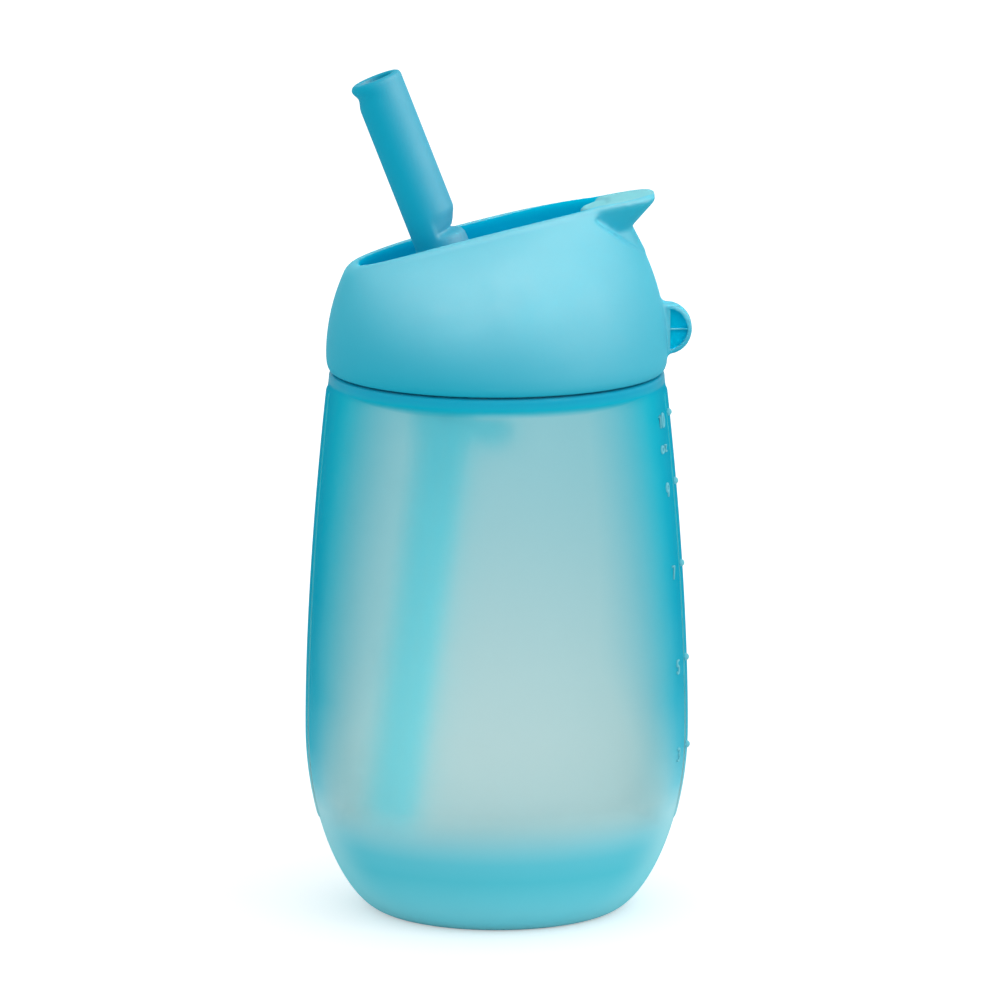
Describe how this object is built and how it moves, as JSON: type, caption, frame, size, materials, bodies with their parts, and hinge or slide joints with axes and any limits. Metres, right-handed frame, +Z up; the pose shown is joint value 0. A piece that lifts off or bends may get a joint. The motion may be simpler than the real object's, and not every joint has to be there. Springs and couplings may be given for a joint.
{
  "type": "straw cup",
  "caption": "Toddler straw cup: translucent round-heeled bottle, screw-on domed lid with a slanted trough, soft straw spout that folds back, dip tube that opens for washing.",
  "frame": {"origin": "centre of the flat underside of the bottle, where it stands on a table", "axes": "+Z up the bottle's axis; -X is the drinker's side, towards which the spout leans; +X is the side of the tongue and the strap lug"},
  "size_m": [0.0717, 0.071, 0.1569],
  "materials": {
    "bottle_plastic": "frosted translucent",
    "lid_plastic": "fine satin",
    "silicone": "soft satin",
    "dip_plastic": "satin"
  },
  "bodies": {
    "bottle_body": {"bottle": "bottle_plastic"},
    "ring_body": {"seal_ring": "silicone"},
    "lid_body": {"lid": "lid_plastic", "vent_valve": "silicone", "straw_base": "silicone", "dip_channel": "dip_plastic", "dip_cover": "dip_plastic"},
    "spout_body": {"straw_spout": "silicone"}
  },
  "joints": [
    {"name": "lid_lift", "type": "slide", "parent": "bottle_body", "child": "ring_body", "axis": [0, 0, 1], "range_m": [0, 0.006]},
    {"name": "lid_turn", "type": "hinge", "parent": "ring_body", "child": "lid_body", "pos_m": [0, 0, 0.1], "axis": [0, 0, 1], "range_deg": [0, 540]},
    {"name": "straw_fold", "type": "hinge", "parent": "lid_body", "child": "spout_body", "pos_m": [-0.0079, 0, 0.1295], "axis": [0, 1, 0], "range_deg": [0, 99]}
  ],
  "couplings": [
    {"joint": "lid_lift", "follows": "lid_turn", "m_per_rad": 0.0006366}
  ]
}
